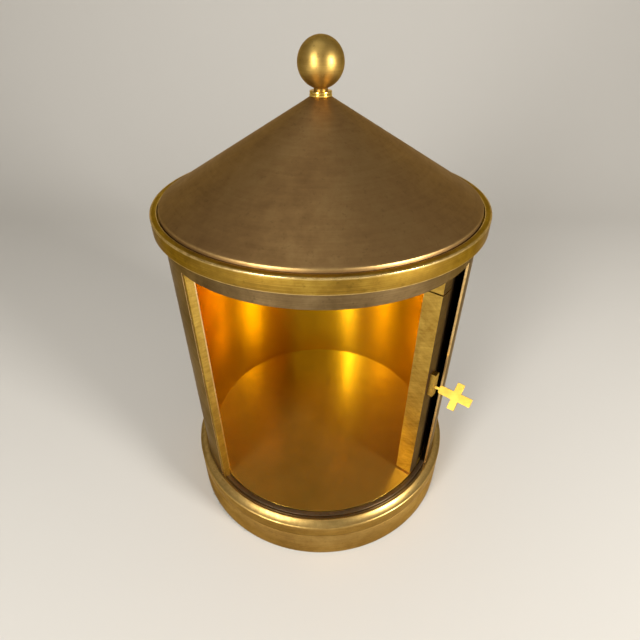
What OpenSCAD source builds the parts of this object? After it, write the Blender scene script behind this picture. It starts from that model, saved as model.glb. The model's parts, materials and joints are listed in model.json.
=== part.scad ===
// Round brass tabernacle box with a revolving inner drum.
// Units: mm. Origin: centre of the base's underside. +Z up, doorway towards -Y, lock side towards +X.
// Angles round the box are measured from -Y towards +X.

/* [Overall] */
// Radius of the top ring
ring_r = 120; // [100:1:150]
// Height of the underside of the top ring
ring_z = 265.8; // [220:0.5:320]
// Height of the floor of the chamber
floor_z = 43.3; // [38:0.1:50]

/* [Doorway] */
// Left edge of the doorway, at the strike post's face
door_left = -48.7; // [-60:0.1:-30]
// Right edge of the doorway, at the cut edge of the casing
door_right = 59.3; // [40:0.1:70]
// Top of the doorway
door_top = 252.5; // [200:0.5:260]

/* [Casing] */
// Outer radius of the casing drum
casing_r = 114.1; // [95:0.1:118]
// Thickness of the casing sheet
casing_t = 1.9; // [1:0.1:3]
// Radius of the base ring
base_r = 121.6; // [110:0.1:140]
// Height of the base ring above the felt
base_h = 38.8; // [36:0.1:40]
// Thickness of the felt pad
felt_t = 1.5; // [1:0.1:3]

/* [Revolving drum] */
// Outer radius of the revolving drum, at its floor and stile
drum_r = 107.9; // [100:0.1:108]
// Step from there in to the liner's outer face
liner_step = 1.2; // [0.5:0.1:2]
// Thickness of the liner
drum_t = 1.2; // [0.8:0.1:2]
// Angle of the lock and key
lock_a = 52; // [40:0.5:60]
// Turn of the drum that closes the doorway
closing_turn = 98.5; // [90:0.5:105]

/* [Lock] */
// Height of the key
key_z = 149.8; // [120:0.5:180]
// Throw radius of the lock's crank pins
crank_e = 3.2; // [2.5:0.1:4]
// Turn of the key's cross away from upright
key_tilt = 43; // [0:1:90]

/* [Roof] */
// Height of the roof's flat top
roof_z = 341.8; // [310:0.1:360]
// Radius of the ball finial
ball_r = 14.9; // [10:0.1:20]

/* [Hidden] */
$fn = 96;
casing_in = casing_r - casing_t;
liner_r = drum_r - liner_step;
drum_in = liner_r - drum_t;
base_in = base_r - 2.6;
base_top = felt_t + base_h;
ring_top = ring_z + 10.8;
ledge_z = ring_z + 8.3;
ceiling_z = door_top + 2.8;
plate_z = 31.3;
sill_in = drum_r + 0.7;
ball_z = roof_z + ball_r + 4.5;
// Finial: bore for the roof's stud, and the collar's height
stud_bore = 4.3;
collar_h = 3.6;
// Stile, in the lock's frame: its two sides, the edge of its outer strip, its back and the cover's joint
face_u = -7.2;
back_u = 10.9;
strip_u = 5.5;
lip_u = face_u + 1.8;
stile_v = 94;
cover_v = 96.2;
stile_z0 = floor_z + 17;
stile_z1 = door_top - 18.2;
foot_z = floor_z + 1.8;
// Degrees by which the open drum's liner stands back behind the strike post
liner_back = 2.8;
// Grooves milled in the stile for the bolts, and the bolts in them
groove_v0 = 96;
groove_v1 = 99.7;
bolt_v0 = 96.5;
bolt_v1 = 99.5;
// Long screws at the stile's two ends
end_screw_u = 8.2;
end_screw_v = 101.6;
// Lock boss
boss_half = 2.8;
boss_z0 = key_z - 8.7;
boss_z1 = key_z + 13;
upper_pin_z = key_z - crank_e*sin(45);
lower_pin_z = key_z + crank_e*sin(45);

brass = [0.62, 0.47, 0.24];
dark_brass = [0.42, 0.33, 0.22];
gold = [0.80, 0.56, 0.16];
steel = [0.62, 0.62, 0.62];

// A turned ring between two radii and two heights
module tube(r_in, r_out, z0, z1) {
  rotate_extrude() translate([r_in, z0]) square([r_out - r_in, z1 - z0]);
}

module disc(r, z0, z1) {
  translate([0, 0, z0]) cylinder(r = r, h = z1 - z0);
}

// A slice of a disc between two angles, used to cut doorways
module wedge(a0, a1, r, z0, z1) {
  n = ceil((a1 - a0)/30);
  translate([0, 0, z0]) linear_extrude(z1 - z0)
    polygon(concat([[0, 0]], [for (i = [0:n]) let (a = a0 + (a1 - a0)*i/n)
      [r*sin(a), -r*cos(a)]]));
}

// Places children modelled at the front of the box at angle a
module at(a) {
  rotate([0, 0, a]) children();
}

// A box in the lock's own frame: u across, v outwards, z up
module lock_box(u0, u1, v0, v1, z0, z1) {
  translate([u0, -v1, z0]) cube([u1 - u0, v1 - v0, z1 - z0]);
}

// A round bar that runs outwards in the lock's own frame
module lock_rod(u, z, d, v0, v1) {
  translate([u, -v0, z]) rotate([90, 0, 0]) cylinder(d = d, h = v1 - v0);
}

// A countersunk screw with its head at the top
module screw_down(d, head_d, z_head, length) {
  translate([0, 0, z_head - length]) cylinder(d = d, h = length);
  translate([0, 0, z_head - (head_d - d)/2]) cylinder(d1 = d, d2 = head_d, h = (head_d - d)/2);
}

// A countersunk screw with its head at the bottom
module screw_up(d, head_d, z_head, length) {
  translate([0, 0, z_head]) cylinder(d = d, h = length);
  translate([0, 0, z_head]) cylinder(d1 = head_d, d2 = d, h = (head_d - d)/2);
}

// Places children at the stile's long end screws, in the lock's frame
module end_screw() {
  translate([end_screw_u, -end_screw_v, 0]) children();
}

module around(r, angles) {
  for (a = angles) at(a) translate([0, -r, 0]) children();
}

// Circles of screws and pillars: radius from the axis, and angles
pillar_r = 85;
base_screw_r = 116.6;
sill_screw_r = 110;
ring_screw_r = 108;
hub_screw_r = 14.5;
pivot_screw_r = 11;
base_screw_a = [15:60:315];
sill_screw_a = [-40:29:47];
post_screw_a = [door_left - 3];
ring_screw_a = [0:60:300];
pillar_a = [45:120:285];
hub_screw_a = [30:90:300];
cover_screw_z = [stile_z0 + 14, stile_z0 + 52, stile_z1 - 47, stile_z1 - 17];
boss_pin_z = [key_z - 6, key_z + 8.5];
pivot_screw_a = [0:120:240];

/* ---- casing ---- */

module felt_pad() {
  color([0.12, 0.30, 0.16]) disc(base_r - 1.2, 0, felt_t);
}

module bottom_plate() {
  color(steel) difference() {
    disc(base_in - 0.4, felt_t, felt_t + 1.5);
    around(pillar_r, pillar_a) screw_up(4.3, 7.3, felt_t, 4);
  }
}

module bottom_pillars() {
  color(brass) difference() {
    around(pillar_r, pillar_a) disc(5, felt_t + 1.5, plate_z);
    around(pillar_r, pillar_a) disc(2.05, felt_t + 1, felt_t + 11.5);
  }
}

module bottom_screws() {
  color(steel) around(pillar_r, pillar_a) screw_up(4, 7, felt_t, 11);
}

module base_ring() {
  color(brass) difference() {
    rotate_extrude() polygon([[base_in, felt_t], [base_r - 0.4, felt_t], [base_r, felt_t + 0.5],
      [base_r, base_top - 2], [base_r - 0.5, base_top - 0.7], [base_r - 1.4, base_top - 0.1],
      [casing_r + 1.9, floor_z - 1.5], [casing_r + 1.6, floor_z - 0.4], [casing_r + 0.1, floor_z - 0.4],
      [casing_r + 0.1, plate_z + 4], [base_in, plate_z + 4]]);
    around(base_screw_r, base_screw_a) disc(1.55, plate_z + 3, plate_z + 8);
  }
}

module base_plate() {
  color(brass) difference() {
    union() {
      disc(base_in - 0.2, plate_z, plate_z + 4);
      disc(16, plate_z - 6, plate_z + 1);
    }
    disc(10, plate_z - 7, plate_z + 5);
    around(base_screw_r, base_screw_a) screw_up(3.2, 5.4, plate_z, 5);
    around(sill_screw_r, sill_screw_a) screw_up(3.2, 5.4, plate_z, 5);
    around(sill_screw_r, post_screw_a) screw_up(3.2, 5.4, plate_z, 5);
    for (a = [lock_a, lock_a - closing_turn]) at(a)
      lock_box(1.25, 5.15, groove_v0 + 0.05, groove_v1 + 0.25, plate_z - 1, plate_z + 5);
  }
}

module base_plate_screws() {
  color(steel) around(base_screw_r, base_screw_a) screw_up(3, 5.2, plate_z, 8);
}

// A curved strip that fills the doorway between the floor and the casing, and carries the post
module door_sill() {
  color(dark_brass) difference() {
    intersection() {
      tube(sill_in, casing_in - 0.1, plate_z + 4, floor_z);
      wedge(door_left - 6, door_right, 140, 0, 300);
    }
    around(sill_screw_r, sill_screw_a) disc(1.55, plate_z + 3, plate_z + 9.5);
    around(sill_screw_r, post_screw_a) disc(1.6, plate_z + 3, floor_z + 1);
  }
}

module sill_screws() {
  color(steel) around(sill_screw_r, sill_screw_a) screw_up(3, 5.2, plate_z, 9);
}

module lower_bush() {
  color([0.70, 0.50, 0.28]) tube(7.05, 10, plate_z - 6, plate_z + 4);
}

module thrust_washer() {
  color([0.9, 0.9, 0.86]) tube(9.2, 22, plate_z + 4, plate_z + 5);
}

module casing_drum() {
  color(dark_brass) difference() {
    tube(casing_in, casing_r, plate_z + 4, ring_z + 4.5);
    wedge(door_left - 1.9, door_right, 140, floor_z, door_top);
  }
}

// The post's lip fills the doorway's left edge; its tongue runs up behind the casing sheet
module strike_post() {
  color(brass) difference() {
    union() {
      intersection() {
        tube(sill_in, casing_r - 0.1, floor_z, door_top - 0.1);
        wedge(door_left - 1.1, door_left, 140, 0, 300);
      }
      intersection() {
        tube(sill_in, casing_in - 0.15, floor_z, ring_z - 3);
        wedge(door_left - 5.6, door_left - 1.1, 140, 0, 300);
      }
    }
    around(sill_screw_r, post_screw_a) disc(1.25, floor_z - 1, floor_z + 14);
    around(sill_screw_r, post_screw_a) disc(1.25, ring_z - 13, ring_z);
  }
}

module strike_screws() {
  color(steel) around(sill_screw_r, post_screw_a) {
    screw_up(2.4, 4.6, plate_z, 25);
    screw_down(2.4, 4.6, ring_z, 12);
  }
}

module top_ring() {
  color(brass) difference() {
    rotate_extrude() polygon([[104, ring_z], [casing_in - 0.1, ring_z], [casing_in - 0.1, ring_z + 4.5],
      [casing_r + 0.1, ring_z + 4.5], [casing_r + 0.1, ring_z], [ring_r - 0.4, ring_z],
      [ring_r, ring_z + 0.4], [ring_r, ring_top - 0.6], [ring_r - 0.6, ring_top],
      [ring_r - 4.5, ring_top], [ring_r - 4.7, ring_top - 0.2], [ring_r - 4.7, ledge_z], [104, ledge_z]]);
    around(ring_screw_r, ring_screw_a) disc(2.1, ring_z - 1, ledge_z + 1);
    around(ring_screw_r, ring_screw_a) disc(3.8, ledge_z - 2.5, ledge_z + 1);
  }
}

module top_plate() {
  color(brass) difference() {
    union() {
      disc(112, ring_z - 3, ring_z);
      disc(13, ring_z - 1, ring_z + 12.5);
    }
    disc(7, ring_z - 4, ring_z + 5.5);
    disc(4.05, ring_z + 5, ring_z + 13);
    around(ring_screw_r, ring_screw_a) disc(1.65, ring_z - 4, ring_z + 1);
    around(sill_screw_r, post_screw_a) screw_down(2.6, 4.8, ring_z, 4);
    for (a = [lock_a, lock_a - closing_turn]) at(a)
      lock_box(-5.15, -1.25, groove_v0 + 0.05, groove_v1 + 0.25, ring_z - 4, ring_z - 0.6);
  }
}

module top_plate_screws() {
  color(steel) around(ring_screw_r, ring_screw_a) {
    disc(1.6, ring_z - 3, ledge_z - 2.5);
    disc(3.5, ledge_z - 2.5, ledge_z - 0.1);
  }
}

module upper_bush() {
  color([0.70, 0.50, 0.28]) tube(5.05, 7, ring_z - 3, ring_z + 5);
}

module roof_stud() {
  color(steel) disc(4, ring_z + 6.5, ball_z - 3);
}

module stud_nut() {
  color(steel) difference() {
    translate([0, 0, ring_z + 12.5]) cylinder(r = 7.5, h = 5.5, $fn = 6);
    disc(4.02, ring_z + 12, ring_z + 19);
  }
}

module roof_cone() {
  slope = (roof_z - ledge_z - 4.7)/(ring_r - 6.1 - 7.3);
  color(brass) rotate_extrude() polygon([[stud_bore, roof_z], [7.3, roof_z], [ring_r - 6.1, ledge_z + 4.7],
    [ring_r - 5.6, ledge_z + 4.1], [ring_r - 5.6, ledge_z], [ring_r - 7.2, ledge_z],
    [ring_r - 7.2, roof_z - 1.86 - (ring_r - 14.5)*slope], [7.04, roof_z - 1.7],
    [stud_bore, roof_z - 1.7]]);
}

module finial_collar() {
  color(brass) rotate_extrude() polygon([[stud_bore, roof_z], [7.1, roof_z], [7.4, roof_z + 0.3],
    [7.4, roof_z + 1.6], [6.8, roof_z + 2], [7.3, roof_z + 2.4], [7.3, roof_z + 3.3],
    [7, roof_z + collar_h], [stud_bore, roof_z + collar_h]]);
}

module finial_ball() {
  color(brass) difference() {
    union() {
      translate([0, 0, ball_z]) sphere(r = ball_r);
      disc(4.6, roof_z + collar_h, ball_z - 10);
    }
    disc(4.1, roof_z + 3, ball_z - 2);
  }
}

/* ---- revolving drum ---- */

module floor_disc() {
  color(gold) difference() {
    disc(drum_r, floor_z - 3.5, floor_z - 0.1);
    at(lock_a) lock_box(1.5, 4.9, groove_v0 + 0.3, groove_v1, floor_z - 5, floor_z + 1);
    around(hub_screw_r, hub_screw_a) disc(1.45, floor_z - 4, floor_z - 1.5);
    at(lock_a) end_screw() screw_up(2.6, 4.8, floor_z - 3.5, 5);
  }
}

module hub() {
  color(brass) difference() {
    union() {
      disc(22, floor_z - 7, floor_z - 3.5);
      disc(7, plate_z - 6.3, floor_z - 6);
    }
    disc(2.55, plate_z - 7, plate_z + 2);
    around(hub_screw_r, hub_screw_a) screw_up(2.7, 4.9, floor_z - 7, 5);
  }
}

module hub_screws() {
  color(steel) around(hub_screw_r, hub_screw_a) screw_up(2.5, 4.7, floor_z - 7, 5.2);
}

module retaining_washer() {
  color(steel) tube(2.7, 12, plate_z - 8.3, plate_z - 6.3);
}

module retaining_screw() {
  color(steel) {
    disc(4.5, plate_z - 11.6, plate_z - 8.3);
    disc(2.5, plate_z - 9, plate_z + 1.5);
  }
}

module liner() {
  color(gold) difference() {
    tube(drum_in, liner_r, floor_z - 0.1, ceiling_z);
    wedge(door_left - liner_back, lock_a + asin(strip_u/liner_r), 140, 0, 300);
  }
}

module ceiling_disc() {
  color(gold) difference() {
    disc(drum_r, ceiling_z, ceiling_z + 2);
    at(lock_a) lock_box(-4.9, -1.5, groove_v0 + 0.3, groove_v1, ceiling_z - 1, ceiling_z + 3);
    around(pivot_screw_r, pivot_screw_a) screw_up(2.7, 4.3, ceiling_z, 4);
    at(lock_a) end_screw() screw_down(2.6, 4.8, ceiling_z + 2, 4);
  }
}

module upper_pivot() {
  color(brass) difference() {
    union() {
      disc(15, ceiling_z + 2, ceiling_z + 4.5);
      disc(5, ceiling_z + 4, ring_z + 4.5);
    }
    around(pivot_screw_r, pivot_screw_a) disc(1.3, ceiling_z + 1, ceiling_z + 5);
  }
}

module upper_pivot_screws() {
  color(steel) around(pivot_screw_r, pivot_screw_a) screw_up(2.5, 4.1, ceiling_z, 4.5);
}

// Part of the stile's section: its back lies inside the liner, and its strip stands out beside it
module stile_section(u0, v0, z0, z1) {
  intersection() {
    disc(drum_in, z0, z1);
    at(lock_a) lock_box(strip_u - 1, back_u, v0, 120, z0, z1);
  }
  intersection() {
    disc(drum_r, z0, z1);
    at(lock_a) lock_box(u0, strip_u, v0, 120, z0, z1);
  }
}

// A long bar, cut back between a narrow lip and its back for the cover, and milled for the bolts
module stile() {
  color(brass) difference() {
    stile_section(face_u, stile_v, stile_z0, stile_z1);
    at(lock_a) {
      lock_box(lip_u, back_u + 1, stile_v - 1, cover_v, stile_z0 - 1, stile_z1 + 1);
      lock_box(-4.85, -1.55, groove_v0, groove_v1, key_z, stile_z1 + 1);
      lock_box(1.55, 4.85, groove_v0, groove_v1, stile_z0 - 1, key_z);
      lock_box(-5.2, 5.2, groove_v0, groove_v1, key_z - 10.2, key_z + 10.2);
      lock_rod(0, key_z, 10, 99, 101.6);
      lock_rod(0, key_z, 6.1, 101, 109);
      for (z = boss_pin_z) lock_rod(0, z, 1.5, 103, 109);
      for (z = cover_screw_z) lock_rod(end_screw_u, z, 1.7, 95, 101);
      end_screw() disc(1.3, stile_z0 - 1, stile_z0 + 9);
      end_screw() disc(1.3, stile_z1 - 10, stile_z1 + 1);
    }
  }
}

// A block with a narrower plinth under it, so that its face stops short of the floor
module stile_foot() {
  color(brass) difference() {
    union() {
      stile_section(face_u, stile_v, foot_z, stile_z0);
      stile_section(-4.5, 95, floor_z - 0.1, foot_z + 1);
    }
    at(lock_a) {
      lock_box(1.5, 4.9, groove_v0, groove_v1, floor_z - 1, stile_z0 + 1);
      end_screw() disc(1.3, floor_z - 1, stile_z0 + 1);
    }
  }
}

module stile_head() {
  color(brass) difference() {
    stile_section(face_u, stile_v, stile_z1 + 1, ceiling_z);
    at(lock_a) {
      lock_box(-4.9, -1.5, groove_v0, groove_v1, stile_z1, ceiling_z + 1);
      end_screw() disc(1.3, stile_z1, ceiling_z + 1);
    }
  }
}

module stile_cover() {
  color(brass) at(lock_a) difference() {
    lock_box(lip_u, back_u, stile_v, cover_v, stile_z0, stile_z1);
    for (z = cover_screw_z) lock_rod(end_screw_u, z, 2.1, stile_v - 1, cover_v + 1);
  }
}

module cover_screws() {
  color(steel) at(lock_a) for (z = cover_screw_z) {
    lock_rod(end_screw_u, z, 1.6, stile_v, 100.5);
    lock_rod(end_screw_u, z, 3.4, stile_v - 0.9, stile_v);
  }
}

module stile_screws() {
  color(steel) at(lock_a) end_screw() {
    screw_up(2.5, 4.7, floor_z - 3.5, 29);
    screw_down(2.5, 4.7, ceiling_z + 2, 32);
  }
}

module lock_boss() {
  color(brass) difference() {
    at(lock_a) lock_box(-boss_half, boss_half, 105, casing_in, boss_z0, boss_z1);
    disc(drum_r, boss_z0 - 1, boss_z1 + 1);
    at(lock_a) lock_rod(0, key_z, 3.2, 100, 115);
    at(lock_a) for (z = boss_pin_z) lock_rod(0, z, 1.5, 100, 110);
  }
}

module boss_pins() {
  color(steel) at(lock_a) for (z = boss_pin_z) lock_rod(0, z, 1.46, 103.2, 109.8);
}

/* ---- lock and key ---- */

module lock_plug() {
  color(brass) at(lock_a) difference() {
    union() {
      lock_rod(0, key_z, 9.6, 99.9, 101.4);
      lock_rod(0, key_z, 6, 101, 106.1);
      lock_rod(-crank_e*cos(45), upper_pin_z, 2.2, bolt_v0 + 0.2, bolt_v1 + 0.9);
      lock_rod(crank_e*cos(45), lower_pin_z, 2.2, bolt_v0 + 0.2, bolt_v1 + 0.9);
    }
    translate([0, 0, key_z]) rotate([0, key_tilt, 0]) lock_box(-1.1, 1.1, 100.8, 107, -1.1, 1.1);
  }
}

module upper_bolt() {
  color(steel) at(lock_a) difference() {
    union() {
      lock_box(-5, -0.5, bolt_v0, bolt_v1, upper_pin_z - 2.6, upper_pin_z + 2.6);
      lock_box(-4.7, -1.7, bolt_v0, bolt_v1, upper_pin_z + 2, ring_z - 5.4);
    }
    lock_box(-4.45, -1.05, bolt_v0 - 0.5, bolt_v1 + 0.5, upper_pin_z - 1.25, upper_pin_z + 1.25);
  }
}

module lower_bolt() {
  color(steel) at(lock_a) difference() {
    union() {
      lock_box(0.5, 5, bolt_v0, bolt_v1, lower_pin_z - 2.6, lower_pin_z + 2.6);
      lock_box(1.7, 4.7, bolt_v0, bolt_v1, plate_z + 5.5, lower_pin_z - 2);
    }
    lock_box(1.05, 4.45, bolt_v0 - 0.5, bolt_v1 + 0.5, lower_pin_z - 1.25, lower_pin_z + 1.25);
  }
}

// A flat cross on a square shank, its axis pointing outwards from the lock
module key() {
  color([0.86, 0.68, 0.30]) at(lock_a) translate([0, 0, key_z]) rotate([0, key_tilt, 0]) {
    lock_box(-1.05, 1.05, 101, 117, -1.05, 1.05);
    lock_box(-1, 1, 116.1, 141.2, -3.3, 3.3);
    lock_box(-1, 1, 126.5, 132.1, -10.6, 10.6);
  }
}

felt_pad();
bottom_plate();
bottom_pillars();
bottom_screws();
base_ring();
base_plate();
base_plate_screws();
door_sill();
sill_screws();
lower_bush();
thrust_washer();
casing_drum();
strike_post();
strike_screws();
top_ring();
top_plate();
top_plate_screws();
upper_bush();
roof_stud();
stud_nut();
roof_cone();
finial_collar();
finial_ball();
floor_disc();
hub();
hub_screws();
retaining_washer();
retaining_screw();
liner();
ceiling_disc();
upper_pivot();
upper_pivot_screws();
stile();
stile_foot();
stile_head();
stile_cover();
cover_screws();
stile_screws();
lock_boss();
boss_pins();
lock_plug();
upper_bolt();
lower_bolt();
key();
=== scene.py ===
"""Round brass table tabernacle: turned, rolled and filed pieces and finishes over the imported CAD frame."""

import json
import math
import random

import bmesh
import bpy
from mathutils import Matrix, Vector, noise


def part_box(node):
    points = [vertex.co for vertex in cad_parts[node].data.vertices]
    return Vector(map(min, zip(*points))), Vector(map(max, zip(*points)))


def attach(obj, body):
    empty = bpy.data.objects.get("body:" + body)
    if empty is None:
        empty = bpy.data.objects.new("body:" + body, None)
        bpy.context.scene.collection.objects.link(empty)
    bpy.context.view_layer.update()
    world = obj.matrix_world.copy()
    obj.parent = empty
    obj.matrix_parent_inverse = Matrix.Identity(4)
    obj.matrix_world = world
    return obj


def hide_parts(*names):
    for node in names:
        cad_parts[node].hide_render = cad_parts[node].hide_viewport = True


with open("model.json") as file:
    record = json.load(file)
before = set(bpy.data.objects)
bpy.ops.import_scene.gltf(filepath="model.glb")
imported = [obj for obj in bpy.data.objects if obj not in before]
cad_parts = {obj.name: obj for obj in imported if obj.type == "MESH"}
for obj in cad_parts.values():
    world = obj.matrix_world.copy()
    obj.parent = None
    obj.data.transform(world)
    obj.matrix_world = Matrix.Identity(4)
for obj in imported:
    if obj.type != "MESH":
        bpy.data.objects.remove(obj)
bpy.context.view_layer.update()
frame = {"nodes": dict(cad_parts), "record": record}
nodes = frame["nodes"]

MM = 0.001
DOOR_LEFT, DOOR_RIGHT = -48.7, 59.3      # degrees from -Y towards +X
WALL_LEFT = DOOR_LEFT - 1.9
POST_STEP = DOOR_LEFT - 1.1
POST_END = DOOR_LEFT - 5.6
SILL_LEFT = DOOR_LEFT - 6.0
LOCK_ANGLE = 52.0
KEY_TILT = math.radians(43.0)

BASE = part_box("base_ring")
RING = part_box("top_ring")
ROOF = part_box("roof_cone")
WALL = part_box("casing_drum")
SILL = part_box("door_sill")
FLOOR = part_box("floor_disc")
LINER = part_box("liner")
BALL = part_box("finial_ball")
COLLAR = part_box("finial_collar")
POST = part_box("strike_post")
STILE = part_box("stile")
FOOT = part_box("stile_foot")
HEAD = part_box("stile_head")
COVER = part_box("stile_cover")
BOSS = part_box("lock_boss")
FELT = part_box("felt_pad")

BASE_R = BASE[1].x
RING_R = 120 * MM
WALL_OUT, WALL_IN = 114.1 * MM, 112.2 * MM
REBATE = 4.7 * MM                        # width of the ring's top around the roof
DRUM_OUT = FLOOR[1].x
LINER_OUT, LINER_IN = DRUM_OUT - 1.2 * MM, DRUM_OUT - 2.4 * MM
SILL_IN = DRUM_OUT + 0.7 * MM
KEY_Z = BOSS[0].z + 8.7 * MM
DOOR_TOP = POST[1].z - 10.3 * MM
# The stile in the lock's frame: sides, outer strip, cover lip, inner face and cover joint
FACE_U, BACK_U = -7.2 * MM, 10.9 * MM
STRIP_U, LIP_U = 5.5 * MM, -5.4 * MM
STILE_V, COVER_V = 94 * MM, 96.2 * MM
SCREW_U = 8.2 * MM
# The bolts' groove, outwards from the axis, and the lower bolt's slot across it, mirrored for the upper one
GROOVE = (96 * MM, 99.7 * MM)
BOLT_SLOT = (1.5 * MM, 4.9 * MM)
STILE_FACE = [(FACE_U, STILE_V), (BACK_U, STILE_V)]
BOSS_HALF = 2.8 * MM
LINER_FROM = LOCK_ANGLE + math.degrees(math.asin(STRIP_U / LINER_OUT))
LINER_TO = DOOR_LEFT - 2.8 + 360.0


# ---- camera, floor and light ----

CAMERA_PLACE = (0.0, -0.3200, 0.3948)
CAMERA_TURN = (math.radians(54.14), 0.0, 0.0016)
CAMERA_LENS = 25.27


def make_camera():
    camera = bpy.data.cameras.new("camera")
    camera.sensor_width = 36.0
    camera.lens = CAMERA_LENS
    obj = bpy.data.objects.new("camera", camera)
    obj.location = CAMERA_PLACE
    obj.rotation_euler = CAMERA_TURN
    bpy.context.scene.collection.objects.link(obj)
    bpy.context.scene.camera = obj


def area_light(name, place, target, size, power, colour=(1.0, 1.0, 1.0)):
    light = bpy.data.lights.new(name, "AREA")
    light.shape = "RECTANGLE"
    light.size, light.size_y = size
    light.energy = power
    light.color = colour
    obj = bpy.data.objects.new(name, light)
    obj.location = place
    obj.rotation_euler = (Vector(target) - Vector(place)).to_track_quat("-Z", "Y").to_euler()
    bpy.context.scene.collection.objects.link(obj)


def link(tree, value, socket):
    """Sets a socket to a value, or joins another socket to it."""
    if isinstance(value, bpy.types.NodeSocket):
        tree.links.new(value, socket)
    elif value is not None:
        socket.default_value = value


def add(tree, kind, inputs, **settings):
    """A new node with its settings and inputs; inputs is a list in the node's order, or a dict by name."""
    made = tree.nodes.new(kind)
    for key, value in settings.items():
        setattr(made, key, value)
    pairs = inputs.items() if isinstance(inputs, dict) else enumerate(inputs)
    for key, value in pairs:
        link(tree, value, made.inputs[key])
    return made


def maths(tree, operation, a, b=None, clamp=False):
    return add(tree, "ShaderNodeMath", [a, b], operation=operation, use_clamp=clamp).outputs[0]


def mix(tree, factor, a, b):
    return add(tree, "ShaderNodeMix", {0: factor, 6: a, 7: b}, data_type="RGBA").outputs[2]


def remap(tree, value, low, high, to_low=0.0, to_high=1.0):
    return add(tree, "ShaderNodeMapRange", [value, low, high, to_low, to_high]).outputs[0]


def make_world():
    world = bpy.data.worlds.new("studio")
    bpy.context.scene.world = world
    world.use_nodes = True
    tree = world.node_tree
    direction = add(tree, "ShaderNodeTexCoord", []).outputs["Generated"]
    split = add(tree, "ShaderNodeSeparateXYZ", [direction]).outputs
    overhead = remap(tree, split[2], 0.35, 0.95)
    behind = remap(tree, split[1], -0.6, 0.7)
    room = mix(tree, behind, (0.22, 0.20, 0.17, 1.0), (0.60, 0.52, 0.41, 1.0))
    sky = mix(tree, overhead, room, (0.24, 0.225, 0.20, 1.0))
    link(tree, sky, tree.nodes["Background"].inputs["Color"])
    tree.nodes["Background"].inputs["Strength"].default_value = 0.9


def make_sweep():
    """A pale sweep: flat under the object and curving up well behind it."""
    half, back, bend, steps = 4.0, 1.6, 1.0, 24
    line = [(-3.0, 0.0), (back - bend, 0.0)]
    for i in range(1, steps + 1):
        a = math.pi / 2 * i / steps
        line.append((back - bend + bend * math.sin(a), bend - bend * math.cos(a)))
    line.append((back, 3.5))
    verts = [(x, y, z) for y, z in line for x in (-half, half)]
    faces = [(2 * i, 2 * i + 1, 2 * i + 3, 2 * i + 2) for i in range(len(line) - 1)]
    mesh = bpy.data.meshes.new("floor")
    mesh.from_pydata(verts, [], faces)
    mesh.shade_smooth()
    obj = bpy.data.objects.new("floor", mesh)
    bpy.context.scene.collection.objects.link(obj)
    material = bpy.data.materials.new("floor_paper")
    material.use_nodes = True
    shader = material.node_tree.nodes["Principled BSDF"]
    shader.inputs["Base Color"].default_value = (0.64, 0.62, 0.58, 1.0)
    shader.inputs["Roughness"].default_value = 0.85
    mesh.materials.append(material)


make_camera()
make_world()
make_sweep()
# Two windows light the sides; the high light makes the glow at the back of the chamber
area_light("window_left", (-0.80, -1.30, 0.48), (0, 0, 0.28), (0.45, 0.6), 19.0, (1.0, 0.98, 0.95))
area_light("window_right", (1.20, -0.95, 0.50), (0, 0, 0.28), (0.4, 0.6), 33.0, (1.0, 0.97, 0.93))
area_light("high_left", (-0.95, -1.25, 1.10), (0, 0, 0.15), (0.40, 0.50), 9.0, (1.0, 0.98, 0.95))
area_light("top", (-0.3, -0.4, 1.7), (0, 0, 0.2), (1.4, 1.4), 4.0)
bpy.context.scene.view_settings.view_transform = "Standard"
bpy.context.scene.cycles.glossy_bounces = 8
bpy.context.scene.cycles.sample_clamp_indirect = 2.5


# ---- finishes ----

def start_material(name):
    material = bpy.data.materials.new(name)
    material.use_nodes = True
    tree = material.node_tree
    place = add(tree, "ShaderNodeTexCoord", []).outputs["Object"]
    return material, tree, place


def texture(tree, place, scale, detail=3.0, rough=0.55, warp=0.0):
    made = add(tree, "ShaderNodeTexNoise",
               {"Vector": place, "Scale": scale, "Detail": detail, "Roughness": rough, "Distortion": warp})
    return made.outputs[0]


def ramp(tree, value, stops):
    made = add(tree, "ShaderNodeValToRGB", [value])
    band = made.color_ramp
    while len(band.elements) < len(stops):
        band.elements.new(0.5)
    for element, (at, colour) in zip(band.elements, stops):
        element.position = at
        element.color = colour if len(colour) == 4 else (*colour, 1.0)
    return made.outputs[0]


def stretched(tree, place, x, y, z):
    return add(tree, "ShaderNodeVectorMath", [place, (x, y, z)], operation="MULTIPLY").outputs[0]


def weighted(tree, *terms):
    """The sum of values, each times its weight."""
    total = None
    for value, weight in terms:
        share = maths(tree, "MULTIPLY", value, weight)
        total = share if total is None else maths(tree, "ADD", total, share)
    return total


def length(tree, a, b):
    """The length of a flat vector from its two parts."""
    return maths(tree, "SQRT", weighted(tree, (a, a), (b, b)))


def turned_lines(tree, place, per_m, along=18.0):
    """Fine lines that run round the axis, on upright and flat faces alike, broken up along their length."""
    radius_share = 1.31
    split = add(tree, "ShaderNodeSeparateXYZ", [place]).outputs
    radius = length(tree, split[0], split[1])
    across = maths(tree, "ADD", split[2], maths(tree, "MULTIPLY", radius, radius_share))
    vector = add(tree, "ShaderNodeCombineXYZ", [
        maths(tree, "MULTIPLY", split[0], along), maths(tree, "MULTIPLY", split[1], along),
        maths(tree, "MULTIPLY", across, per_m)]).outputs[0]
    return texture(tree, vector, 1.0, 4.0, 0.6)


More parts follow.
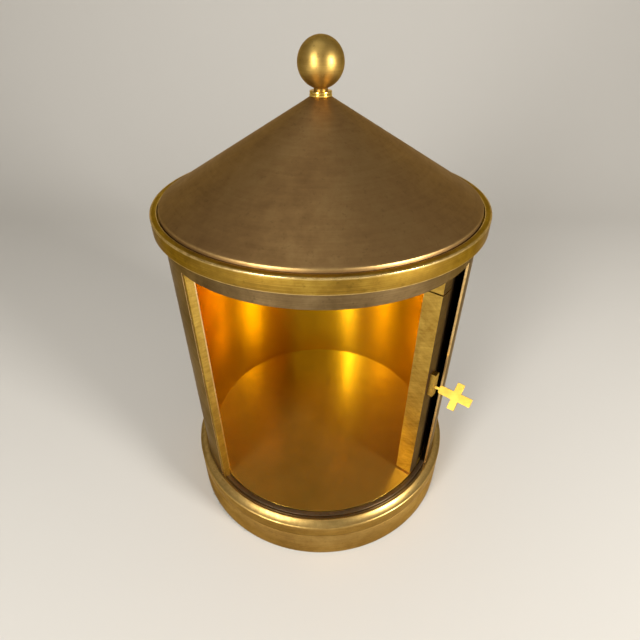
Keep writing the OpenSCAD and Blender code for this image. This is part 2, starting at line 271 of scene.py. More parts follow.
def rim_wear_and_sheen(tree, place, rims):
    """1 on the turned edges or bands given as (radius, height, width), fading away from them, with a broken
    border: worn brass, and on the base's top also a painted highlight.
    """
    split = add(tree, "ShaderNodeSeparateXYZ", [place]).outputs
    radius = length(tree, split[0], split[1])
    ragged = remap(tree, texture(tree, place, 240.0), 0.35, 0.65, 0.55, 1.25)
    wear_and_sheen = 0.0
    for rim_r, rim_z, width in rims:
        gap = length(tree, maths(tree, "SUBTRACT", radius, rim_r), maths(tree, "SUBTRACT", split[2], rim_z))
        close = maths(tree, "SUBTRACT", 1.0, maths(tree, "DIVIDE", gap, width), clamp=True)
        wear_and_sheen = maths(tree, "MAXIMUM", wear_and_sheen, close)
    return maths(tree, "MULTIPLY", wear_and_sheen, ragged, clamp=True)


EDGE_TINT = (0.78, 0.62, 0.40, 1.0)      # colour of glancing reflections on every metal


def finish_metal(tree, colour, rough, height, strength, distance, anisotropy=0.0):
    """Joins colour, roughness and bump to a metal shader."""
    shader = tree.nodes["Principled BSDF"]
    link(tree, colour, shader.inputs["Base Color"])
    link(tree, rough, shader.inputs["Roughness"])
    shader.inputs["Metallic"].default_value = 1.0
    shader.inputs["Specular Tint"].default_value = EDGE_TINT
    shader.inputs["Anisotropic"].default_value = anisotropy
    shader.inputs["Anisotropic Rotation"].default_value = 0.25 if anisotropy else 0.0
    bump = add(tree, "ShaderNodeBump", {"Strength": strength, "Distance": distance, "Height": height})
    link(tree, bump.outputs[0], shader.inputs["Normal"])


def turned_brass(name, dark, middle, light, rough=0.36, rims=(), bright=(0.90, 0.66, 0.28), lines=2600.0,
                 grain=0.5, spots=0.35, anisotropy=0.35):
    """Lathe-turned brass under a patina: clouds, small spots, fine turned lines and bright rims, worn, and on
    the base also a band of painted highlight.
    """
    material, tree, place = start_material(name)
    clouds = texture(tree, place, 16.0, 5.0, 0.6, 0.4)
    fine = texture(tree, place, 95.0, 4.0, 0.65)
    lines_tex = turned_lines(tree, place, lines)
    value = weighted(tree, (clouds, 0.62), (fine, 0.38), (maths(tree, "SUBTRACT", lines_tex, 0.5), grain))
    colour = ramp(tree, value, [(0.30, dark), (0.50, middle), (0.70, light)])
    speckle = remap(tree, texture(tree, place, 330.0, 2.0), 0.62, 0.72, 0.0, spots)
    colour = mix(tree, speckle, colour, (*[c * 0.45 for c in dark], 1.0))
    rough_value = maths(tree, "ADD", remap(tree, value, 0.3, 0.7, 0.10, -0.06), rough)
    if rims:
        wear_and_sheen = rim_wear_and_sheen(tree, place, rims)
        # Brightens the worn rims; on the base this also paints a highlight over its top face
        colour = mix(tree, wear_and_sheen, colour, (*bright, 1.0))
        rough_value = maths(tree, "SUBTRACT", rough_value, maths(tree, "MULTIPLY", wear_and_sheen, 0.10))
    height = maths(tree, "ADD", lines_tex, maths(tree, "MULTIPLY", fine, 0.15))
    finish_metal(tree, colour, rough_value, height, 0.25, 0.05 * MM, anisotropy)
    return material


def filed_brass(name, dark, light, rough=0.34, scratches=0.5):
    """Brass finished by hand with a file and emery: short strokes that cross at two slants, and stains."""
    material, tree, place = start_material(name)
    strokes = []
    for slant, fine in ((24.0, 760.0), (-31.0, 540.0), (78.0, 420.0)):
        turned = add(tree, "ShaderNodeVectorRotate", {"Vector": place, "Axis": (0.79, 0.61, 0.0),
                                                      "Angle": math.radians(slant)}).outputs[0]
        strokes.append(texture(tree, stretched(tree, turned, 80.0, 80.0, fine), 1.0, 4.0, 0.6, 0.4))
    clouds = texture(tree, place, 70.0, 5.0, 0.65, 0.8)
    value = weighted(tree, (strokes[0], 0.24), (strokes[1], 0.2), (clouds, 0.56))
    colour = ramp(tree, value, [(0.36, dark), (0.62, light)])
    deep = remap(tree, strokes[2], 0.66, 0.74, 0.0, scratches)
    colour = mix(tree, deep, colour, (*[c * 0.5 for c in dark], 1.0))
    rough_value = remap(tree, value, 0.36, 0.64, rough + 0.08, rough - 0.06)
    height = maths(tree, "ADD", strokes[0], maths(tree, "MULTIPLY", strokes[1], 0.8))
    finish_metal(tree, colour, rough_value, height, 0.3, 0.05 * MM)
    return material


def gilt(name, dark, light, rough, matte_share=0.0, lines=600.0, anisotropy=0.4):
    """Polished gilt brass: a soft mirror with faint turned brushing, cloudy wear and an optional matt share
    that is not metal.
    """
    material, tree, place = start_material(name)
    lines_tex = turned_lines(tree, place, lines, 26.0)
    clouds = texture(tree, place, 17.0, 4.0, 0.55)
    smears = texture(tree, stretched(tree, place, 60.0, 60.0, 34.0), 1.0, 4.0, 0.6)
    value = weighted(tree, (clouds, 0.6), (smears, 0.3), (lines_tex, 0.1))
    colour = ramp(tree, value, [(0.38, dark), (0.62, light)])
    rough_value = remap(tree, clouds, 0.35, 0.65, rough + 0.015, rough - 0.015)
    finish_metal(tree, colour, rough_value, lines_tex, 0.08, 0.02 * MM, anisotropy)
    # A share of the colour shows matt, not metal; on the floor this is part of its painted shade
    tree.nodes["Principled BSDF"].inputs["Metallic"].default_value = 1.0 - matte_share
    return material


def plain_metal(name, dark, light, rough, lines=900.0):
    """As-machined metal for the hidden parts."""
    material, tree, place = start_material(name)
    marks = texture(tree, stretched(tree, place, 120.0, 120.0, lines), 1.0, 3.0, 0.6)
    clouds = texture(tree, place, 60.0, 3.0, 0.6)
    value = weighted(tree, (marks, 0.5), (clouds, 0.5))
    colour = ramp(tree, value, [(0.35, dark), (0.65, light)])
    rough_value = remap(tree, value, 0.3, 0.7, rough + 0.07, rough - 0.05)
    finish_metal(tree, colour, rough_value, marks, 0.2, 0.03 * MM)
    return material


def felt_material(name):
    """Green wool felt: matt, tufted and a little fuzzy."""
    material, tree, place = start_material(name)
    tufts = texture(tree, place, 420.0, 5.0, 0.75, 1.2)
    fibres = texture(tree, stretched(tree, place, 900.0, 260.0, 500.0), 1.0, 4.0, 0.7, 2.0)
    value = weighted(tree, (tufts, 0.5), (fibres, 0.5))
    colour = ramp(tree, value, [
        (0.32, (0.010, 0.045, 0.018)), (0.52, (0.025, 0.100, 0.040)), (0.72, (0.070, 0.190, 0.085))])
    shader = tree.nodes["Principled BSDF"]
    link(tree, colour, shader.inputs["Base Color"])
    shader.inputs["Roughness"].default_value = 0.95
    shader.inputs["Sheen Weight"].default_value = 0.4
    bump = add(tree, "ShaderNodeBump", {"Strength": 0.8, "Distance": 0.4 * MM, "Height": value})
    link(tree, bump.outputs[0], shader.inputs["Normal"])
    return material


def nylon_material(name):
    """The pale, slightly cloudy plastic of the bearing washer."""
    material, tree, place = start_material(name)
    clouds = texture(tree, place, 120.0, 3.0, 0.6)
    colour = ramp(tree, clouds, [(0.35, (0.66, 0.64, 0.56)), (0.65, (0.78, 0.76, 0.69))])
    shader = tree.nodes["Principled BSDF"]
    link(tree, colour, shader.inputs["Base Color"])
    link(tree, remap(tree, clouds, 0.3, 0.7, 0.45, 0.36), shader.inputs["Roughness"])
    return material


PATINA = ((0.190, 0.106, 0.040), (0.275, 0.162, 0.062), (0.370, 0.230, 0.090))
GREY_PATINA = ((0.090, 0.056, 0.023), (0.160, 0.104, 0.045), (0.265, 0.180, 0.085))
ANTIQUE = ((0.165, 0.092, 0.015), (0.280, 0.162, 0.023), (0.470, 0.305, 0.050))
BASE_BRASS = ((0.200, 0.110, 0.028), (0.325, 0.193, 0.052), (0.480, 0.310, 0.095))

# Worn edges, as radius, height and width of the bright band; the base's second band lies across its sloping
# top and is painted highlight as well as wear
ROOF_RIMS = [(ROOF[1].x - 0.3 * MM, ROOF[0].z + 4.4 * MM, 1.3 * MM)]
RING_RIMS = [(RING_R, RING[1].z, 1.5 * MM), (RING_R - REBATE, RING[1].z, 0.9 * MM),
             (RING_R, RING[0].z, 0.9 * MM)]
BASE_WEAR_AND_SHEEN = [(BASE_R - 0.8 * MM, BASE[1].z - 3.6 * MM, 1.7 * MM),
             # A broad bright band over the base's sloping top: painted highlight, partly wear
             (WALL_OUT + 4 * MM, BASE[1].z - 1.5 * MM, 4 * MM)]
LOOKS = {
    "roof": turned_brass("roof_patina", *PATINA, rough=0.46, rims=ROOF_RIMS, bright=(0.45, 0.29, 0.11),
                         lines=700.0, grain=0.2, spots=0.25, anisotropy=0.0),
    "wall": turned_brass("wall_patina", *GREY_PATINA, rough=0.34, lines=1500.0, grain=0.35, anisotropy=0.4),
    "ring": turned_brass("ring_brass", *ANTIQUE, rough=0.32, rims=RING_RIMS),
    "base": turned_brass("base_brass", *BASE_BRASS, rough=0.40, rims=BASE_WEAR_AND_SHEEN, bright=(0.60, 0.40, 0.13),
                         anisotropy=0.2),
    "sill": turned_brass("sill_patina", (0.150, 0.105, 0.060), (0.235, 0.165, 0.095), (0.330, 0.240, 0.145),
                         rough=0.42, lines=1800.0),
    "strip": turned_brass("strip_patina", (0.058, 0.036, 0.016), (0.096, 0.062, 0.028), (0.155, 0.102, 0.048),
                          rough=0.46, lines=1800.0),
    "ball": turned_brass("ball_brass", (0.20, 0.122, 0.031), (0.40, 0.255, 0.064), (0.58, 0.390, 0.110),
                         rough=0.40, lines=900.0, grain=0.3, anisotropy=0.2),
    "collar": turned_brass("collar_brass", (0.58, 0.38, 0.08), (0.82, 0.58, 0.14), (0.95, 0.74, 0.24),
                           rough=0.2),
    "raw": filed_brass("raw_brass", (0.29, 0.165, 0.026), (0.58, 0.380, 0.078)),
    "boss": filed_brass("boss_brass", (0.33, 0.195, 0.032), (0.62, 0.410, 0.085), 0.30, 0.2),
    "edge": filed_brass("edge_brass", (0.50, 0.31, 0.11), (0.86, 0.60, 0.26), 0.3),
    "key": filed_brass("key_brass", (0.56, 0.33, 0.045), (0.78, 0.52, 0.085), 0.34, 0.1),
    "gilt": gilt("gilt_wall", (0.94, 0.68, 0.05), (0.99, 0.78, 0.08), 0.24),
    # The floor's gilt: a darker, browner copy of the wall's gilt with a matt share, painted shade for the dim
    # reflections on the chamber floor
    "floor": gilt("gilt_floor_painted_shade", (0.74, 0.46, 0.065), (0.90, 0.59, 0.105), 0.21, matte_share=0.10, lines=380.0,
                  anisotropy=0.0),
    "steel": plain_metal("zinc_steel", (0.40, 0.40, 0.40), (0.62, 0.62, 0.60), 0.34),
    "plain": plain_metal("machined_brass", (0.50, 0.34, 0.13), (0.76, 0.55, 0.25), 0.34),
    "bronze": plain_metal("bush_bronze", (0.36, 0.20, 0.09), (0.56, 0.34, 0.17), 0.42, 300.0),
    "felt": felt_material("green_felt"),
    "nylon": nylon_material("washer_nylon"),
}
SLOT_LOOKS = {
    "felt": "felt", "steel": "steel", "brass_dark": "wall", "brass_antique": "ring", "brass_raw": "raw",
    "brass_bright": "key", "gilt": "gilt", "brass_plain": "plain", "bronze": "bronze", "nylon": "nylon",
}


def dress_cad_nodes():
    for part in frame["record"]["subparts"]:
        obj = nodes[part["node"]]
        obj.data.materials.clear()
        obj.data.materials.append(LOOKS[SLOT_LOOKS[part["material_slot"]]])


# ---- mesh helpers ----

SHARP = 40.0                             # degrees between faces from which an edge is drawn sharp


def place_at(radius, degrees, z):
    a = math.radians(degrees)
    return (radius * math.sin(a), -radius * math.cos(a), z)


def lock_point(u, v, z):
    """A point in the lock's own frame: u across, v outwards, z up."""
    a = math.radians(LOCK_ANGLE)
    return (u * math.cos(a) + v * math.sin(a), u * math.sin(a) - v * math.cos(a), z)


def clean_mesh(name, verts, faces):
    """A mesh with its doubled points merged and its faces turned outwards."""
    mesh = bpy.data.meshes.new(name)
    mesh.from_pydata(verts, [], faces)
    work = bmesh.new()
    work.from_mesh(mesh)
    bmesh.ops.remove_doubles(work, verts=work.verts, dist=1e-6)
    bmesh.ops.recalc_face_normals(work, faces=work.faces)
    work.to_mesh(mesh)
    work.free()
    return mesh


def piece(name, verts, faces, look, body, replaces, bevel=0.0, sharp=SHARP, tint=None):
    """Makes a closed, smooth-shaded piece that rides on a body and stands for CAD nodes."""
    mesh = clean_mesh(name, verts, faces)
    for key in ([look] if isinstance(look, str) else look):
        mesh.materials.append(LOOKS[key])
    if tint:
        for polygon in mesh.polygons:
            polygon.material_index = tint(polygon)
    mesh.shade_smooth()
    mesh.set_sharp_from_angle(angle=math.radians(sharp))
    obj = bpy.data.objects.new(name, mesh)
    bpy.context.scene.collection.objects.link(obj)
    if bevel:
        cut = obj.modifiers.new("bevel", "BEVEL")
        cut.width = bevel
        cut.segments = 3
        cut.limit_method = "ANGLE"
        cut.angle_limit = math.radians(sharp)
        cut.harden_normals = True
    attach(obj, body)
    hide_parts(*replaces)
    return obj


def rounded(points, steps=5):
    """A closed outline of (r, z) or (r, z, fillet) corners, with the fillets drawn as arcs."""
    line = []
    count = len(points)
    for i, corner in enumerate(points):
        here = Vector(corner[:2])
        fillet = corner[2] if len(corner) > 2 else 0.0
        if not fillet:
            line.append(tuple(here))
            continue
        back = (Vector(points[i - 1][:2]) - here).normalized()
        ahead = (Vector(points[(i + 1) % count][:2]) - here).normalized()
        half = back.angle(ahead) / 2
        centre = here + (back + ahead).normalized() * (fillet / math.sin(half))
        start = here + back * (fillet / math.tan(half)) - centre
        end = here + ahead * (fillet / math.tan(half)) - centre
        turn = start.angle_signed(end)
        for k in range(steps + 1):
            a = -turn * k / steps
            line.append((centre.x + start.x * math.cos(a) - start.y * math.sin(a),
                         centre.y + start.x * math.sin(a) + start.y * math.cos(a)))
    return line


def lathe(name, outline, look, body, replaces, steps=240, shape=None, sharp=50.0):
    """Turns a closed outline round the axis; shape may move each point a little."""
    count = len(outline)
    verts = []
    for i in range(steps):
        for r, z in outline:
            point = Vector(place_at(r, 360.0 * i / steps, z))
            verts.append(shape(point) if shape else point)
    faces = []
    for i in range(steps):
        for k in range(count):
            n = (i + 1) % steps
            m = (k + 1) % count
            faces.append((i * count + k, n * count + k, n * count + m, i * count + m))
    return piece(name, verts, faces, look, body, replaces, sharp=sharp)


def finely(line, start, end, parts):
    """The outline with its stretch from one point to the next cut into equal parts."""
    a, b = Vector(line[start]), Vector(line[end])
    extra = [tuple(a.lerp(b, k / parts)) for k in range(1, parts)]
    return line[:start + 1] + extra + line[start + 1:]


def rolled_sheet(name, r_in, r_out, angles, heights, closed, look, body, replaces, door=None, tint=None,
                 bevel=0.3 * MM):
    """A rolled sheet between angles and heights, with an optional doorway (angles and heights) cut in it."""
    columns = len(angles) if closed else len(angles) - 1
    rows = len(heights) - 1

    def kept(i, j):
        if j < 0 or j >= rows:
            return False
        if closed:
            i %= columns
        elif i < 0 or i >= columns:
            return False
        if not door:
            return True
        middle_z = (heights[j] + heights[j + 1]) / 2
        follow = angles[(i + 1) % len(angles)] + (360.0 if closed and i == columns - 1 else 0.0)
        middle_a = (angles[i] + follow) / 2
        return not (door[0] < middle_a < door[1] and door[2] < middle_z < door[3])

    def vertex(i, j, side):
        return ((i % len(angles)) * len(heights) + j) * 2 + side

    verts = [place_at(r, a, z) for a in angles for z in heights for r in (r_in, r_out)]
    faces = []
    for i in range(columns):
        for j in range(rows):
            if not kept(i, j):
                continue
            for side in (0, 1):
                faces.append([vertex(i, j, side), vertex(i + 1, j, side), vertex(i + 1, j + 1, side),
                              vertex(i, j + 1, side)])
            borders = [((i - 1, j), (i, j), (i, j + 1)), ((i + 1, j), (i + 1, j), (i + 1, j + 1)),
                       ((i, j - 1), (i, j), (i + 1, j)), ((i, j + 1), (i, j + 1), (i + 1, j + 1))]
            for neighbour, a, b in borders:
                if not kept(*neighbour):
                    faces.append([vertex(*a, 0), vertex(*a, 1), vertex(*b, 1), vertex(*b, 0)])
    return piece(name, verts, faces, look, body, replaces, bevel=bevel, tint=tint)


def spread(start, end, step):
    """Values from start to end, both included, at most a step apart."""
    parts = max(1, math.ceil((end - start) / step))
    return [start + (end - start) * k / parts for k in range(parts + 1)]


def prism(outline, z0, z1, verts, faces):
    """Adds an upright prism over a closed plan outline to a list of vertices and faces."""
    first = len(verts)
    count = len(outline)
    verts += [(x, y, z) for z in (z0, z1) for x, y in outline]
    faces.append([first + k for k in range(count)])
    faces.append([first + count + k for k in range(count)])
    for k in range(count):
        n = (k + 1) % count
        faces.append([first + k, first + n, first + count + n, first + count + k])


def sector(r_in, r_out, a0, a1, step=1.0):
    """Plan outline of part of a ring."""
    outer = [place_at(r_out, a, 0)[:2] for a in spread(a0, a1, step)]
    inner = [place_at(r_in, a, 0)[:2] for a in spread(a0, a1, step)]
    return outer + inner[::-1]


# ---- casing ----

def make_roof():
    top, low, rim = ROOF[1].z, ROOF[0].z, ROOF[1].x
    sheet, hole, tip = 1.6 * MM, 4.3 * MM, 7.3 * MM
    skirt = low + 4.7 * MM
    outline = rounded([
        (hole, top), (tip, top), (rim - 0.5 * MM, skirt, 0.7 * MM), (rim, low + 3.6 * MM), (rim, low),
        (rim - sheet, low), (rim - sheet, skirt - 1.2 * MM), (7.04 * MM, top - 1.7 * MM),
        (hole, top - 1.7 * MM)])
    outline = finely(outline, 1, 2, 60)

    def shape(point):
        """Very shallow unevenness from spinning and planishing, always downwards."""
        depth = 0.18 * MM * (0.5 + 0.5 * noise.noise(point * 22.0))
        radius = math.hypot(point.x, point.y)
        if radius < 10 * MM or radius > rim - 3 * MM:
            return point
        return point - Vector((0, 0, depth))

    lathe("roof_skin", outline, "roof", "casing", ["roof_cone"], shape=shape)


def make_top_ring():
    """The ring's section has a groove from below for the wall and a rebate on top for the roof."""
    low, top = RING[0].z, RING[1].z
    groove = low + 4.5 * MM
    groove_in, groove_out = WALL_IN - 0.1 * MM, WALL_OUT + 0.1 * MM
    ledge = top - 2.5 * MM
    inner = 104 * MM
    outline = rounded([
        (inner, low, 0.3 * MM), (groove_in, low), (groove_in, groove), (groove_out, groove),
        (groove_out, low, 0.2 * MM), (RING_R, low, 0.45 * MM), (RING_R, top, 0.55 * MM),
        (RING_R - REBATE, top, 0.3 * MM), (RING_R - REBATE, ledge, 0.2 * MM), (inner, ledge, 0.3 * MM)])
    lathe("top_ring_turned", outline, "ring", "casing", ["top_ring"])


def make_wall():
    low, top = WALL[0].z, WALL[1].z
    sill = SILL[1].z
    angles = spread(WALL_LEFT, DOOR_RIGHT, 1.5) + spread(DOOR_RIGHT, WALL_LEFT + 360.0, 1.5)[1:-1]
    heights = spread(low, sill, 10 * MM) + spread(sill, DOOR_TOP, 15 * MM)[1:]
    heights += spread(DOOR_TOP, top, 10 * MM)[1:]

    def tint(polygon):
        """The doorway's upright cut edges are bare brass."""
        x, y, z = polygon.center
        inside = abs(math.hypot(x, y) - (WALL_IN + WALL_OUT) / 2) < 0.6 * MM
        return 1 if inside and abs(polygon.normal.z) < 0.5 and low + MM < z < top - MM else 0

    rolled_sheet("casing_wall", WALL_IN, WALL_OUT, angles, heights, True, ["wall", "edge"], "casing",
                 ["casing_drum"], (WALL_LEFT, DOOR_RIGHT, sill, DOOR_TOP), tint)


def make_base_ring():
    """The base's section: a fine turned groove in its face, a rim bead and a lip round the wall."""
    low, lip, inner = BASE[0].z, BASE[1].z, WALL_OUT + 0.1 * MM
    hollow, ledge = BASE_R - 2.6 * MM, SILL[0].z
    top = low + 38.8 * MM
    groove = top - 13.0 * MM
    outline = rounded([
        (hollow, low), (BASE_R, low, 0.5 * MM), (BASE_R, groove), (BASE_R - 0.2 * MM, groove + 0.3 * MM),
        (BASE_R, groove + 0.6 * MM), (BASE_R, top - 0.5 * MM, 1.3 * MM),
        (WALL_OUT + 1.9 * MM, lip - 1.1 * MM), (WALL_OUT + 1.6 * MM, lip, 0.3 * MM), (inner, lip),
        (inner, ledge), (hollow, ledge)])
    lathe("base_ring_turned", outline, "base", "casing", ["base_ring"], sharp=60.0)


def make_sill():
    verts, faces = [], []
    prism(sector(SILL_IN, WALL_IN - 0.1 * MM, SILL_LEFT, DOOR_RIGHT), SILL[0].z, SILL[1].z, verts, faces)
    piece("door_sill_strip", verts, faces, "sill", "casing", ["door_sill"], bevel=0.3 * MM)


def make_strike_post():
    """The post's front fills the doorway's height, and its tail runs on behind the wall."""
    low, top = POST[0].z, POST[1].z
    verts, faces = [], []
    prism(sector(SILL_IN, WALL_OUT - 0.1 * MM, POST_STEP, DOOR_LEFT), low, DOOR_TOP - 0.1 * MM, verts, faces)
    prism(sector(SILL_IN, WALL_IN - 0.15 * MM, POST_END, POST_STEP), low, top, verts, faces)
    piece("strike_post_filed", verts, faces, "raw", "casing", ["strike_post"], bevel=0.25 * MM)


def make_finial_collar():
    low, top = COLLAR[0].z, COLLAR[1].z
    inner, rim = 4.3 * MM, 7.3 * MM
    outline = rounded([
        (inner, low), (7.1 * MM, low), (7.4 * MM, low + 0.3 * MM), (7.4 * MM, low + 1.6 * MM, 0.25 * MM),
        (6.8 * MM, low + 2.0 * MM, 0.2 * MM), (rim, low + 2.4 * MM, 0.3 * MM), (rim, top, 0.4 * MM),
        (inner, top)])
    lathe("finial_collar_turned", outline, "collar", "casing", ["finial_collar"], steps=96)


def make_finial_ball():
    """A ball on a short neck, bored from below for the stud."""
    radius = (BALL[1].x - BALL[0].x) / 2
    centre = BALL[1].z - radius
    bore, neck, steps = 4.1 * MM, 4.6 * MM, 48
    meet = math.asin(neck / radius)
    line = [(bore, BALL[0].z), (neck, BALL[0].z), (neck, centre - radius * math.cos(meet) - 0.3 * MM)]
    for k in range(steps + 1):
        a = meet + 0.02 + (math.pi - meet - 0.02) * k / steps
        line.append((max(radius * math.sin(a), 0.0), centre - radius * math.cos(a)))
    line += [(0.0, centre - 2 * MM), (bore, centre - 2 * MM)]
    lathe("finial_ball_turned", line, "ball", "casing", ["finial_ball"], steps=96,
          sharp=60.0)


# ---- revolving drum ----

def make_floor_disc():
    low, top, outer = FLOOR[0].z, FLOOR[1].z, DRUM_OUT
    corner = rounded([(0.0, low), (outer, low, 0.2 * MM), (outer, top, 0.08 * MM), (0.0, top)])
    # The floor plate takes the gilt painted darker and browner as shade
    plate = lathe("floor_plate", corner, "floor", "drum", ["floor_disc"])
    carve(plate, [lock_block(*BOLT_SLOT, GROOVE[0] + 0.3 * MM, GROOVE[1], low - MM, top + MM)])


def make_liner():
    angles = spread(LINER_FROM, LINER_TO, 1.5)
    heights = spread(LINER[0].z, LINER[1].z, 15 * MM)

    def tint(polygon):
        """Gilt inside, patina outside, bare brass on the cut ends."""
        x, y, _ = polygon.center
        radius = math.hypot(x, y)
        if abs(radius - (LINER_IN + LINER_OUT) / 2) < 0.4 * MM:
            return 2
        return 0 if radius < (LINER_IN + LINER_OUT) / 2 else 1

    rolled_sheet("liner_sheet", LINER_IN, LINER_OUT, angles, heights, False, ["gilt", "wall", "edge"],
                 "drum", ["liner"], tint=tint, bevel=0.2 * MM)


def stile_outline(start):
    """Plan outline of the stile: the given inner corners, then round its back and its outer strip."""
    back = [(u, math.sqrt(LINER_IN ** 2 - u ** 2)) for u in spread(STRIP_U, BACK_U, 1 * MM)[::-1]]
    strip = [(u, math.sqrt(DRUM_OUT ** 2 - u ** 2)) for u in spread(start[0][0], STRIP_U, 1 * MM)[::-1]]
    return [lock_point(u, v, 0)[:2] for u, v in start + back + strip]


def lock_block(u0, u1, v0, v1, z0, z1):
    """An upright block in the lock's frame, as vertices and faces."""
    verts, faces = [], []
    corners = ((u0, v0), (u1, v0), (u1, v1), (u0, v1))
    prism([lock_point(u, v, 0)[:2] for u, v in corners], z0, z1, verts, faces)
    return verts, faces


def lock_turning(u, z, line, steps=32):
    """A closed outline of (radius, v) turned round an axis that runs outwards in the lock's frame."""
    verts, faces = [], []
    for i in range(steps):
        a = 2 * math.pi * i / steps
        verts += [lock_point(u + r * math.cos(a), v, z + r * math.sin(a)) for r, v in line]
    count = len(line)
    for i in range(steps):
        a, b = i * count, (i + 1) % steps * count
        faces += [(a + k, b + k, b + k + 1, a + k + 1) for k in range(count - 1)]
    return verts, faces


def lock_rod(u, z, radius, v0, v1):
    return lock_turning(u, z, [(0.0, v0), (radius, v0), (radius, v1), (0.0, v1)])


def carve(obj, cutters):
    """Cuts solids, given as vertices and faces, out of a piece."""
    for verts, faces in cutters:
        cutter = bpy.data.objects.new("cutter", clean_mesh("cutter", verts, faces))
        bpy.context.scene.collection.objects.link(cutter)
        cut = obj.modifiers.new("cut", "BOOLEAN")
        cut.operation = "DIFFERENCE"
        cut.solver = "EXACT"
        cut.object = cutter
        bevels = [modifier for modifier in obj.modifiers if modifier.type == "BEVEL"]
        for bevel in bevels:
            bevel.show_viewport = False
        bpy.context.view_layer.update()
        graph = bpy.context.evaluated_depsgraph_get()
        obj.data = bpy.data.meshes.new_from_object(obj.evaluated_get(graph))
        obj.modifiers.remove(cut)
        for bevel in bevels:
            bevel.show_viewport = True
        bpy.data.objects.remove(cutter)
    obj.data.set_sharp_from_angle(angle=math.radians(SHARP))


def stile_block(name, inner, low, top, bevel, replaces):
    """A length of the stile: bare brass, with a patina only on its outer strip."""
    def tint(polygon):
        x, y, _ = polygon.center
        return 1 if math.hypot(x, y) > DRUM_OUT - 0.2 * MM else 0

    verts, faces = [], []
    prism(stile_outline(inner), low, top, verts, faces)
    return piece(name, verts, faces, ["raw", "strip"], "drum", replaces, bevel, tint=tint)


def make_stile_bar():
    """The long bar, cut back for the cover and milled for the two bolts, their pins and the plug."""
    low, top = STILE[0].z, STILE[1].z
    lipped = [(FACE_U, STILE_V), (LIP_U, STILE_V), (LIP_U, COVER_V), (BACK_U, COVER_V)]
    bar = stile_block("stile_bar", lipped, low, top, 0.45 * MM, ["stile"])
    near, far, half, pocket = 1.55 * MM, 4.85 * MM, 5.2 * MM, 10.2 * MM
    carve(bar, [
        lock_block(-far, -near, *GROOVE, KEY_Z, top + MM),
        lock_block(near, far, *GROOVE, low - MM, KEY_Z),
        lock_block(-half, half, *GROOVE, KEY_Z - pocket, KEY_Z + pocket),
        lock_rod(0.0, KEY_Z, 5 * MM, 99 * MM, 101.6 * MM),
        lock_rod(0.0, KEY_Z, 3.05 * MM, 101 * MM, 109 * MM)])


def make_stile_head():
    low, top = HEAD[0].z, HEAD[1].z
    head = stile_block("stile_head_block", STILE_FACE, low, top, 0.2 * MM, ["stile_head"])
    carve(head, [lock_block(-BOLT_SLOT[1], -BOLT_SLOT[0], *GROOVE, low - MM, top + MM)])


def make_stile_foot():
    """The foot stands on a narrower plinth, so a recess is cut round it at the floor."""
    low, top = FOOT[0].z, FOOT[1].z
    recess = low + 1.9 * MM
    foot = stile_block("stile_foot_block", STILE_FACE, low, top, 0.2 * MM, ["stile_foot"])
    carve(foot, [
        lock_block(*BOLT_SLOT, *GROOVE, low - MM, top + MM),
        lock_block(FACE_U - MM, -4.5 * MM, STILE_V - MM, 112 * MM, low - MM, recess),
        lock_block(FACE_U - 2 * MM, BACK_U + MM, STILE_V - 2 * MM, 95 * MM, low - 2 * MM, recess)])


def make_stile_cover():
    verts, faces = lock_block(LIP_U, BACK_U, STILE_V, COVER_V, COVER[0].z, COVER[1].z)
    piece("stile_cover_plate", verts, faces, "raw", "drum", ["stile_cover"], bevel=0.2 * MM)


def make_cover_screws():
    """Slotted pan-head screws that hold the cover over the bolts."""
    bar_low, bar_top = STILE[0].z, STILE[1].z
    heights = (bar_low + 14 * MM, bar_low + 52 * MM, bar_top - 47 * MM, bar_top - 17 * MM)
    face, tip = STILE_V - 0.9 * MM, 100.5 * MM
    head, shank = 1.7 * MM, 0.8 * MM
    line = [(0.0, face), (0.9 * MM, face + 0.06 * MM), (1.4 * MM, face + 0.28 * MM), (head, face + 0.6 * MM),
            (head, STILE_V), (shank, STILE_V), (shank, tip), (0.0, tip)]
    verts, faces, slots = [], [], []
    for z in heights:
        more, loops = lock_turning(SCREW_U, z, line, 24)
        faces += [[len(verts) + k for k in loop] for loop in loops]
        verts += more
        slots.append(lock_block(SCREW_U - 2 * MM, SCREW_U + 2 * MM, face - MM, face + 0.5 * MM,
                                z - 0.25 * MM, z + 0.25 * MM))
    screws = piece("cover_screws_slotted", verts, faces, "steel", "drum", ["cover_screws"])
    carve(screws, slots)


# ---- lock and key ----

def make_lock_boss():
    """The block with the keyhole, seated on the stile's strip."""
    seat = [(u, math.sqrt(DRUM_OUT ** 2 - u ** 2)) for u in spread(-BOSS_HALF, BOSS_HALF, 0.7 * MM)]
    front = [(BOSS_HALF, WALL_IN), (-BOSS_HALF, WALL_IN)]
    verts, faces = [], []
    prism([lock_point(u, v, 0)[:2] for u, v in seat + front], BOSS[0].z, BOSS[1].z, verts, faces)
    boss = piece("lock_boss_block", verts, faces, "boss", "drum", ["lock_boss"], bevel=0.35 * MM)
    carve(boss, [lock_rod(0.0, KEY_Z, 1.6 * MM, 106 * MM, 113 * MM)])


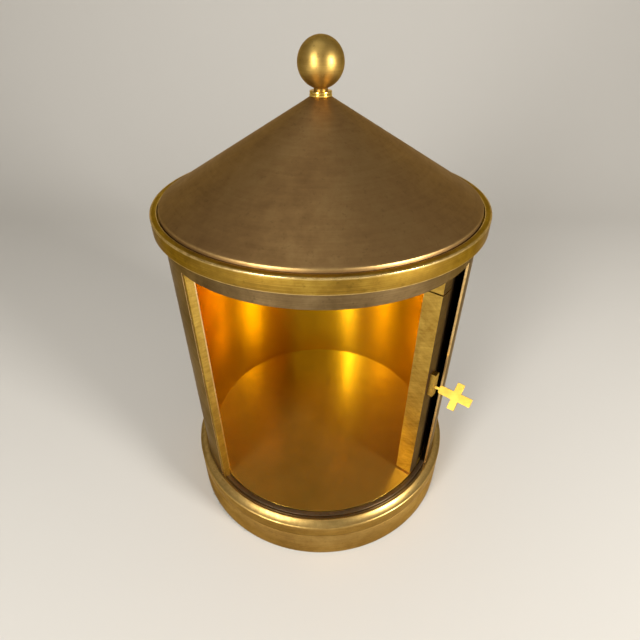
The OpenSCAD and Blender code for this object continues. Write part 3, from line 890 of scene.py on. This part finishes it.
def make_key():
    """A flat Latin cross and its square pin, cut from one bar and softened with a file."""
    out = Vector(lock_point(0.0, 1.0, 0.0))
    across = Vector(lock_point(1.0, 0.0, 0.0))
    wide = across * math.sin(KEY_TILT) + Vector((0, 0, 1)) * math.cos(KEY_TILT)
    thick = across * math.cos(KEY_TILT) - Vector((0, 0, 1)) * math.sin(KEY_TILT)
    pin, half, arm, reach = 1.05 * MM, 3.3 * MM, 10.6 * MM, 1.0 * MM
    arm_in, arm_out = 126.5 * MM, 132.1 * MM
    side = [(101 * MM, pin), (115.6 * MM, pin, 0.3 * MM), (116.1 * MM, half, 0.9 * MM),
            (arm_in, half, 0.3 * MM), (arm_in, arm, 0.35 * MM), (arm_out, arm, 0.35 * MM),
            (arm_out, half, 0.3 * MM), (141.2 * MM, half, 0.4 * MM)]
    other = [(v, -w, *fillet) for v, w, *fillet in reversed(side)]
    outline = rounded(side + other, 4)
    verts, faces = [], []
    count = len(outline)
    for level in (-reach, reach):
        verts += [out * v + wide * w + thick * level + Vector((0, 0, KEY_Z)) for v, w in outline]
    faces += [list(range(count)), list(range(count, 2 * count))]
    faces += [[k, (k + 1) % count, count + (k + 1) % count, count + k] for k in range(count)]
    piece("key_cross", verts, faces, "key", "key_body", ["key"], bevel=0.22 * MM)


def add_fibre(work, draw, outer, top):
    """One curved fibre of wool that sticks out of the pad's edge, near its left front."""
    side, scatter, joints = -52.0, 9.0, 4
    angle = draw.gauss(side, scatter)
    reach = 1.2 * MM + abs(draw.gauss(0.0, 1.1 * MM))
    turn = draw.uniform(-0.9, 0.9)
    rings = []
    for k in range(joints + 1):
        along = k / joints
        height = top * draw.uniform(0.35, 0.65) * (1 - 0.4 * along) + 0.1 * MM
        point = Vector(place_at(outer - 0.4 * MM + reach * along, angle + turn * along * along, height))
        thin = 0.11 * MM * (1 - 0.6 * along)
        rings.append([work.verts.new(point + Vector(step)) for step in
                      ((0, 0, thin), (thin, 0, -thin / 2), (-thin, 0, -thin / 2))])
    for a, b in zip(rings, rings[1:]):
        for k in range(3):
            work.faces.new((a[k], a[(k + 1) % 3], b[(k + 1) % 3], b[k]))
    work.faces.new(rings[0])
    work.faces.new(rings[-1][::-1])


def make_felt():
    """Felt with a soft rounded edge and some stray fibres."""
    fibres, seed = 90, 12
    low, top, outer = FELT[0].z, FELT[1].z, FELT[1].x
    outline = rounded([(0.0, low), (outer, low, 0.5 * MM), (outer, top, 0.5 * MM), (0.0, top)])
    felt = lathe("felt_pad_cut", outline, "felt", "casing", ["felt_pad"], sharp=80.0)
    work = bmesh.new()
    work.from_mesh(felt.data)
    draw = random.Random(seed)
    for _ in range(fibres):
        add_fibre(work, draw, outer, top)
    bmesh.ops.recalc_face_normals(work, faces=work.faces)
    work.to_mesh(felt.data)
    work.free()


dress_cad_nodes()
make_roof()
make_top_ring()
make_wall()
make_base_ring()
make_sill()
make_strike_post()
make_finial_collar()
make_finial_ball()
make_floor_disc()
make_liner()
make_stile_bar()
make_stile_head()
make_stile_foot()
make_stile_cover()
make_cover_screws()
make_lock_boss()
make_key()
make_felt()
